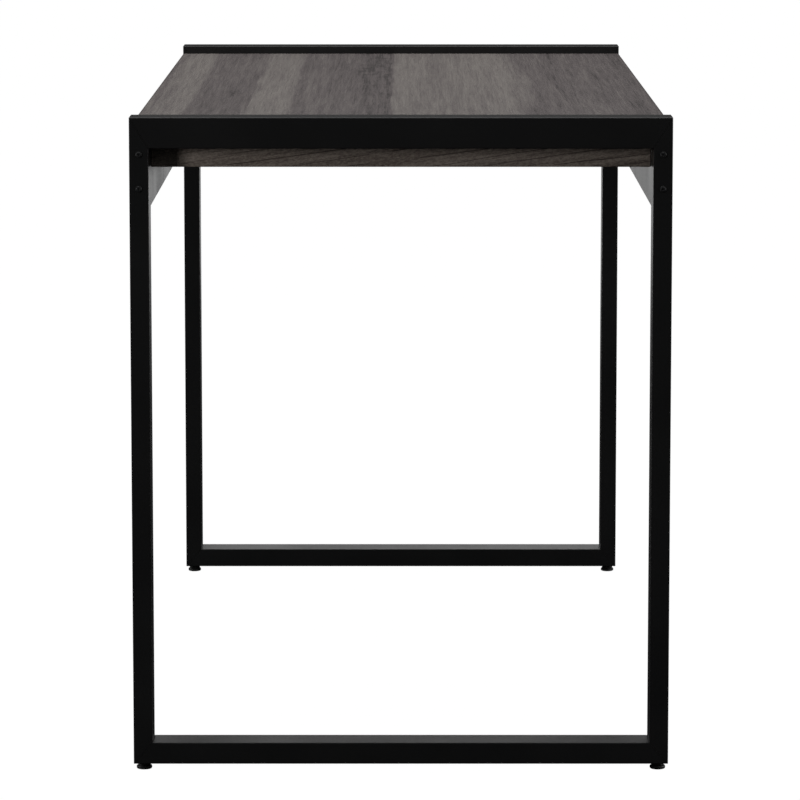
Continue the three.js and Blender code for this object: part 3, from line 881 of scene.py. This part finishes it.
def end_board(side):
    """The cleat under the desktop, with a counterbored hole for each of its screws."""
    node = f"{side}_end_board"
    low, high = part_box(node)
    made = board(f"{node}_cleat", low, high, END_WOOD, edge=1.4 * MM, steps=4)
    screws = [f"{side}_end_board_screw_{end}" for end in ENDS]
    drill(made, mouths_over(screws, low.z), COUNTERBORE_RADIUS, 2 * COUNTERBORE_DEPTH)
    stand_for(made, node)


VENT_RADIUS, VENT_DEPTH = 2.5 * MM, 3 * MM


def box_bar(node, name, vents):
    """A closed steel box section along X. vents says which of its ends has a vent hole."""
    low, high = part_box(node)
    centre = (low + high) / 2
    width, height = high.y - low.y, high.z - low.z

    def ring(points, x):
        return [Vector((x, centre.y + a, centre.z + b)) for a, b in points]

    outer = rounded_ring(width, height, APRON_CORNER)
    broken = rounded_ring(width - 2 * SHARP, height - 2 * SHARP, APRON_CORNER - SHARP)
    vent = matching_circle(VENT_RADIUS)
    rings = [ring(broken, low.x), ring(outer, low.x + SHARP)]
    rings += [ring(outer, high.x - SHARP), ring(broken, high.x)]
    if vents[0]:
        rings = [ring(vent, low.x + step) for step in (VENT_DEPTH, 0)] + rings
    if vents[1]:
        rings += [ring(vent, high.x - step) for step in (0, VENT_DEPTH)]
    bm = bmesh.new()
    skin(bm, rings)
    return stand_for(piece(name, bm, STEEL), node)


def aprons():
    box_bar("rear_apron", "rear_apron_section", (False, False))
    box_bar("left_front_apron", "left_front_apron_section", (False, True))
    box_bar("right_front_apron", "right_front_apron_section", (True, False))
    low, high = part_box("front_strap")
    stand_for(board("front_strap_bar", low, high, STEEL, edge=0.5 * MM), "front_strap")


def crossbar(side):
    node = f"{side}_crossbar"
    low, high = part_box(node)
    centre = (low + high) / 2
    width, height = high.x - low.x, high.z - low.z
    rings = []
    for shrink, y in ((TUBE_WALL, low.y), (0, low.y), (0, high.y), (TUBE_WALL, high.y)):
        section = rounded_ring(width - 2 * shrink, height - 2 * shrink, APRON_CORNER - shrink / 2)
        rings.append([Vector((centre.x + a, y, centre.z + b)) for a, b in section])
    bm = bmesh.new()
    skin(bm, rings, closed=True)
    stand_for(piece(f"{node}_tube", bm, STEEL), node)


# ---- Keyboard tray ----

def folded_sheet(node, name, path, thickness, bend, material):
    """A folded sheet along the slide: path is its section's middle line, in (x, z)."""
    low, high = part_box(node)
    section = folded(path, thickness, bend)
    bm = bmesh.new()
    skin(bm, [[Vector((a, y, b)) for a, b in section] for y in (low.y, high.y)])
    return stand_for(piece(name, bm, material), node)


def tray():
    low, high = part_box("tray_board")
    panel = board("tray_board_panel", low, high, DESKTOP_WOOD, BACKING, edge=0.8 * MM)
    stand_for(panel, "tray_board")
    low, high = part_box("tray_rear_stop")
    stop = board("tray_rear_stop_strip", low, high, DESKTOP_WOOD, edge=1.2 * MM, steps=4)
    stand_for(stop, "tray_rear_stop")
    box_bar("tray_front_rail", "tray_front_rail_section", (True, True))


def slide_section(low, high, facing, lip):
    """The middle line of a slide member's section. facing is the way its mouth points."""
    half = SLIDE_SHEET / 2
    back, mouth = (low.x, high.x) if facing > 0 else (high.x, low.x)
    web = back + facing * half
    rim = mouth - facing * (half if lip else 0)
    bottom, top = low.z + half, high.z - half
    path = [(rim, bottom), (web, bottom), (web, top), (rim, top)]
    if lip:
        path = [(rim, bottom + lip), *path, (rim, top - lip)]
    return path


def slides(side):
    way = SIDES[side]
    members = {"outer": (-way, 2.6 * MM), "middle": (-way, 1.4 * MM), "inner": (way, 0)}
    for member, (facing, lip) in members.items():
        node = f"{side}_slide_{member}_member"
        path = slide_section(*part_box(node), facing, lip)
        folded_sheet(node, f"{node}_channel", path, SLIDE_SHEET, SLIDE_BEND, ZINC_SLIDE)


def angle_sheet(node, path):
    folded_sheet(node, f"{node}_angle", path, SHEET, SHEET_BEND, STEEL)


def hanger(side):
    """The angle under the desktop that carries the slide, its flange pointing outwards."""
    way = SIDES[side]
    node = f"{side}_slide_hanger"
    low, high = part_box(node)
    inner, tip = (low.x, high.x) if way > 0 else (high.x, low.x)
    web, top = inner + way * SHEET / 2, high.z - SHEET / 2
    angle_sheet(node, [(web, low.z), (web, top), (tip, top)])


def side_rail(side):
    """The angle that carries the tray's board, its flange pointing inwards under it."""
    way = SIDES[side]
    node = f"{side}_tray_side_rail"
    low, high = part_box(node)
    outer, tip = (high.x, low.x) if way > 0 else (low.x, high.x)
    web, bottom = outer - way * SHEET / 2, low.z + SHEET / 2
    angle_sheet(node, [(web, high.z), (web, bottom), (tip, bottom)])


BALL_RADIUS = 0.95 * MM
BALLS = 12
BALL_STEP = 10 * MM
STRIP_WIDTH, STRIP_THICKNESS = 2.2 * MM, 0.5 * MM
OUTER_STRIPS_START = 135 * MM  # before the outer member's rear end
INNER_STRIPS_START = 8 * MM  # behind its front end


def ball_strip(name, body, x, y, z):
    """A retainer strip with its bearing balls, lying along the slide from y."""
    bm = bmesh.new()
    bmesh.ops.create_cube(bm, size=1)
    size = Vector((STRIP_WIDTH, (BALLS + 0.5) * BALL_STEP, STRIP_THICKNESS))
    middle = Vector((x, y + size.y / 2, z))
    for vert in bm.verts:
        vert.co = middle + vert.co * size
    fasten(piece(name, bm, ZINC_SCREW), body)
    balls = bmesh.new()
    for i in range(BALLS):
        made = bmesh.ops.create_uvsphere(balls, u_segments=14, v_segments=8, radius=BALL_RADIUS)
        for vert in made["verts"]:
            vert.co += Vector((x, y + (i + 0.75) * BALL_STEP, z))
    fasten(piece(f"{name}_balls", balls, BALL_STEEL), body)


def bearings(side):
    """Strips of balls between the members: outer races at the rear, inner races in front."""
    body = f"{side}_slide_middle"
    outer_low, outer_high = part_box(f"{side}_slide_outer_member")
    middle_low, middle_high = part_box(f"{side}_slide_middle_member")
    inner_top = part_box(f"{side}_slide_inner_member")[1].z
    x = (middle_low.x + middle_high.x) / 2
    races = {
        "outer": (outer_high.z - SLIDE_SHEET + middle_high.z) / 2,
        "inner": (middle_high.z - SLIDE_SHEET + inner_top) / 2,
    }
    axis = (outer_low.z + outer_high.z) / 2
    starts = {
        "outer": outer_high.y - OUTER_STRIPS_START,
        "inner": outer_low.y + INNER_STRIPS_START,
    }
    for race, z in races.items():
        for way, level in ((1, "upper"), (-1, "lower")):
            name = f"{side}_{race}_{level}_ball_retainer"
            ball_strip(name, body, x, starts[race], axis + way * (z - axis))


SMALL_SCREWS = 3  # along each joint


def sheet_screws(side):
    """Screws from the slide to its hanger and the tray's rail, and from the rail to the board."""
    way = SIDES[side]
    hanger_low, hanger_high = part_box(f"{side}_slide_hanger")
    rail_low, rail_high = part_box(f"{side}_tray_side_rail")
    slide_low, slide_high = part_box(f"{side}_slide_outer_member")
    axis = (slide_low.z + slide_high.z) / 2
    hanger_face = (hanger_low.x if way > 0 else hanger_high.x) + way * SHEET
    rail_face = (rail_high.x if way > 0 else rail_low.x) - way * SHEET
    flange = (rail_low.x + rail_high.x) / 2
    length = slide_high.y - slide_low.y
    for i in range(SMALL_SCREWS):
        y = slide_low.y + length * (i + 0.5) / SMALL_SCREWS
        for name, body, place in (
            ("hanger_slide", "desk", sideways(way, hanger_face, y, axis)),
            ("rail_slide", "tray", sideways(-way, rail_face, y, axis)),
            ("tray_board", "tray", upright(flange, y, rail_low.z, -1)),
        ):
            small_screw(f"{side}_{name}_screw_{i + 1}", body, place)


# ---- The whole desk ----

desktop()
aprons()
tray()
for side in SIDES:
    end_frame(side)
    end_board(side)
    crossbar(side)
    slides(side)
    hanger(side)
    side_rail(side)
    bearings(side)
    sheet_screws(side)
    for end in ENDS:
        levelling_foot(side, end)
        foot_insert(side, end)
        for level in LEVELS:
            apron_bolt(side, end, level)
        for kind in ("crossbar", "end_board", "hanger"):
            wood_screw(f"{side}_{kind}_screw_{end}")


# ---- Studio ----

FLOOR_REACH = 60  # from its middle to each edge


def studio_floor():
    """A white floor that the desk neither mirrors nor is lit by."""
    bm = bmesh.new()
    bmesh.ops.create_grid(bm, x_segments=1, y_segments=1, size=FLOOR_REACH)
    g = Graph("studio_floor")
    tone = g.noise(g.mapped(), scale=0.4)
    base = g.ramp(tone, [(0.0, (0.010, 0.010, 0.010)), (1.0, (0.014, 0.014, 0.014))])
    material = g.surface(
        Base_Color=base,
        Roughness=1.0,
        Emission_Color=(1.0, 1.0, 1.0),
        Emission_Strength=1.0,
        Specular_IOR_Level=0.0,
    )
    floor = piece("studio_floor", bm, material)
    floor.visible_glossy = False
    floor.visible_diffuse = False


# The studio's brightness from straight down (0) to straight up (1): a dark ground, a step up just
# under the horizon (0.5), and a sky that grows a little lighter.
HORIZON = [
    (0.000, 0.004), (0.411, 0.004), (0.421, 0.010), (0.432, 0.032), (0.4425, 0.050),
    (0.460, 0.060), (0.540, 0.062), (0.600, 0.070), (0.750, 0.100), (1.000, 0.160),
]


def studio_world():
    """White behind the desk for the camera, and the horizon's greys for all other rays."""
    world = bpy.data.worlds.new("studio")
    bpy.context.scene.world = world
    world.use_nodes = True
    tree = world.node_tree
    tree.nodes.clear()

    def add(kind):
        return tree.nodes.new("ShaderNode" + kind)

    place, split, height, ramp = (
        add(kind) for kind in ("TexCoord", "SeparateXYZ", "MapRange", "ValToRGB")
    )
    height.inputs["From Min"].default_value = -1
    fill_ramp(ramp, HORIZON)
    seen, lit = add("Background"), add("Background")
    seen.inputs["Color"].default_value = (1, 1, 1, 1)
    path, mix, out = (add(kind) for kind in ("LightPath", "MixShader", "OutputWorld"))
    for source, socket in (
        (place.outputs["Generated"], split.inputs[0]),
        (split.outputs["Z"], height.inputs["Value"]),
        (height.outputs["Result"], ramp.inputs["Fac"]),
        (ramp.outputs["Color"], lit.inputs["Color"]),
        (path.outputs["Is Camera Ray"], mix.inputs[0]),
        (lit.outputs[0], mix.inputs[1]),
        (seen.outputs[0], mix.inputs[2]),
        (mix.outputs[0], out.inputs["Surface"]),
    ):
        tree.links.new(source, socket)


# name, position, target, size, watts, and whether glossy surfaces show it
LAMPS = [
    ("overhead", (-0.3, 0, 3.6), (0, 0, 0.7), (4.2, 2.6), 95, True),
    ("key", (3.0, -2.25, 1.05), (0.6, 0, 0.7), (0.7, 0.7), 42, False),
    ("fill", (2.6, 3.4, 1.6), (0.5, 0, 0.6), (1.6, 1.6), 10, True),
    ("back", (-2.6, 0, 0.4735), (0, 0, 0.4735), (2.6, 0.533), 3.7, True),
    ("front side", (0.1, -5.0, 1.3), (0.1, 0, 0.4), (4.0, 1.6), 60, True),
    ("rear side", (0.1, 5.0, 1.3), (0.1, 0, 0.4), (4.0, 1.6), 60, True),
]


def softbox(name, position, target, size, watts, mirrored):
    data = bpy.data.lights.new(name, "AREA")
    data.shape = "RECTANGLE"
    data.size, data.size_y = size
    data.energy = watts
    lamp = bpy.data.objects.new(name, data)
    lamp.location = position
    aim = Vector(target) - Vector(position)
    lamp.rotation_euler = aim.to_track_quat("-Z", "Y").to_euler()
    lamp.visible_camera = False
    lamp.visible_glossy = mirrored
    bpy.context.scene.collection.objects.link(lamp)


# The camera that the photo's perspective gives, looking along the desk from its right end.
CAMERA_LENS = 207.32  # millimetres, as is the sensor's width
CAMERA_SENSOR = 36
CAMERA_FAR_LIMIT = 200
CAMERA_TO_FRAME = 5.1623  # from the right frame's face
CAMERA_HEIGHT = 1.1467
CAMERA_PITCH = 7.9016  # degrees, downwards
CAMERA_YAW = 0.0117  # degrees


def studio_camera():
    data = bpy.data.cameras.new("camera")
    data.sensor_width = CAMERA_SENSOR
    data.lens = CAMERA_LENS
    data.clip_end = CAMERA_FAR_LIMIT
    camera = bpy.data.objects.new("camera", data)
    frame_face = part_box("right_top_rail")[1].x
    camera.location = (frame_face + CAMERA_TO_FRAME, 0.0, CAMERA_HEIGHT)
    pitch, yaw = math.radians(CAMERA_PITCH), math.radians(CAMERA_YAW)
    camera.rotation_euler = (math.pi / 2 - pitch, 0, math.pi / 2 + yaw)
    bpy.context.scene.collection.objects.link(camera)
    bpy.context.scene.camera = camera


studio_floor()
studio_world()
studio_camera()
for lamp in LAMPS:
    softbox(*lamp)
bpy.context.scene.view_settings.view_transform = "Standard"
